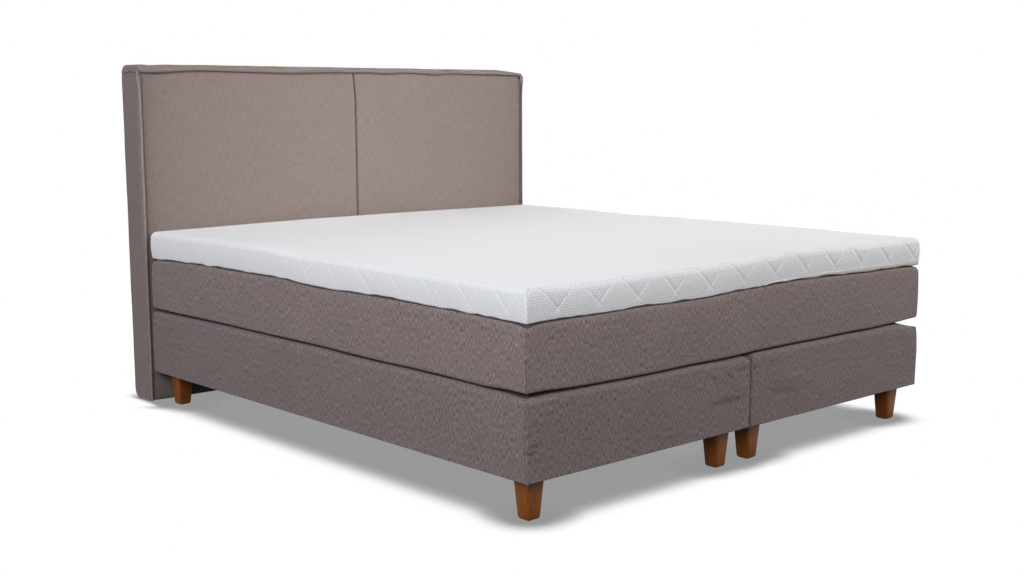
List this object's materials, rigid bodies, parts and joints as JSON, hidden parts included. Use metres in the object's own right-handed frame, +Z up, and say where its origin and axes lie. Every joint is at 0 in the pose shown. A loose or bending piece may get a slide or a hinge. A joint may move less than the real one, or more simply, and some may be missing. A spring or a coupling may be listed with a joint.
{
  "type": "box spring bed",
  "caption": "Double box spring bed with two sprung base boxes, a mattress, a knitted topper, an upholstered headboard and tapered wooden legs.",
  "frame": {"origin": "on the floor, at the centre of the bed's bounding box seen from above", "axes": "+Y from the foot of the bed to the headboard, +X across the bed to the right as seen from the foot, +Z up"},
  "size_m": [1.828, 2.126, 1.215],
  "materials": {
    "taupe_upholstery": "woven melange upholstery cloth, matt",
    "taupe_piping": "welt of the same cloth, matt",
    "white_knit": "quilted double-jersey knit, matt",
    "stained_wood": "walnut stain, satin lacquer",
    "pine": "planed, bare",
    "board": "fibreboard, bare",
    "foam": "open-cell foam",
    "felt": "needled felt",
    "spring_wrap": "spunbond wrap round the springs",
    "black_cloth": "spunbond lining, matt",
    "zinc_steel": "zinc plated"
  },
  "bodies": {
    "bed_base": {"box_connector_foot": "zinc_steel", "box_connector_head": "zinc_steel", "left_box_cover": "taupe_upholstery", "left_box_dust_cover": "black_cloth", "left_box_felt": "felt", "left_box_foot_rail": "pine", "left_box_head_rail": "pine", "left_box_inner_rail": "pine", "left_box_outer_rail": "pine", "left_box_slat_deck": "pine", "left_box_spring_unit": "spring_wrap", "left_box_top_pad": "foam", "left_leg_foot_inner": "stained_wood", "left_leg_foot_outer": "stained_wood", "left_leg_head_inner": "stained_wood", "left_leg_head_outer": "stained_wood", "left_leg_nut_foot_inner": "zinc_steel", "left_leg_nut_foot_outer": "zinc_steel", "left_leg_nut_head_inner": "zinc_steel", "left_leg_nut_head_outer": "zinc_steel", "right_box_cover": "taupe_upholstery", "right_box_dust_cover": "black_cloth", "right_box_felt": "felt", "right_box_foot_rail": "pine", "right_box_head_rail": "pine", "right_box_inner_rail": "pine", "right_box_outer_rail": "pine", "right_box_slat_deck": "pine", "right_box_spring_unit": "spring_wrap", "right_box_top_pad": "foam", "right_leg_foot_inner": "stained_wood", "right_leg_foot_outer": "stained_wood", "right_leg_head_inner": "stained_wood", "right_leg_head_outer": "stained_wood", "right_leg_nut_foot_inner": "zinc_steel", "right_leg_nut_foot_outer": "zinc_steel", "right_leg_nut_head_inner": "zinc_steel", "right_leg_nut_head_outer": "zinc_steel", "headboard_back_cloth": "black_cloth", "headboard_board": "board", "headboard_border": "taupe_upholstery", "headboard_bottom_rail": "pine", "headboard_left_bracket": "zinc_steel", "headboard_left_pad": "taupe_upholstery", "headboard_left_stile": "pine", "headboard_mid_post": "pine", "headboard_piping": "taupe_piping", "headboard_right_bracket": "zinc_steel", "headboard_right_pad": "taupe_upholstery", "headboard_right_stile": "pine", "headboard_top_rail": "pine"},
    "mattress": {"mattress_border": "taupe_upholstery", "mattress_bottom_panel": "taupe_upholstery", "mattress_lower_foam": "foam", "mattress_spring_core": "spring_wrap", "mattress_top_panel": "taupe_upholstery", "mattress_upper_foam": "foam"},
    "topper": {"topper_core": "foam", "topper_lower_cover": "white_knit", "topper_upper_cover": "white_knit"}
  },
  "joints": [
    {"name": "mattress_lift", "type": "slide", "parent": "bed_base", "child": "mattress", "axis": [0, 0, 1], "range_m": [0, 0.88]},
    {"name": "topper_lift", "type": "slide", "parent": "mattress", "child": "topper", "axis": [0, 0, 1], "range_m": [0, 0.7]}
  ]
}
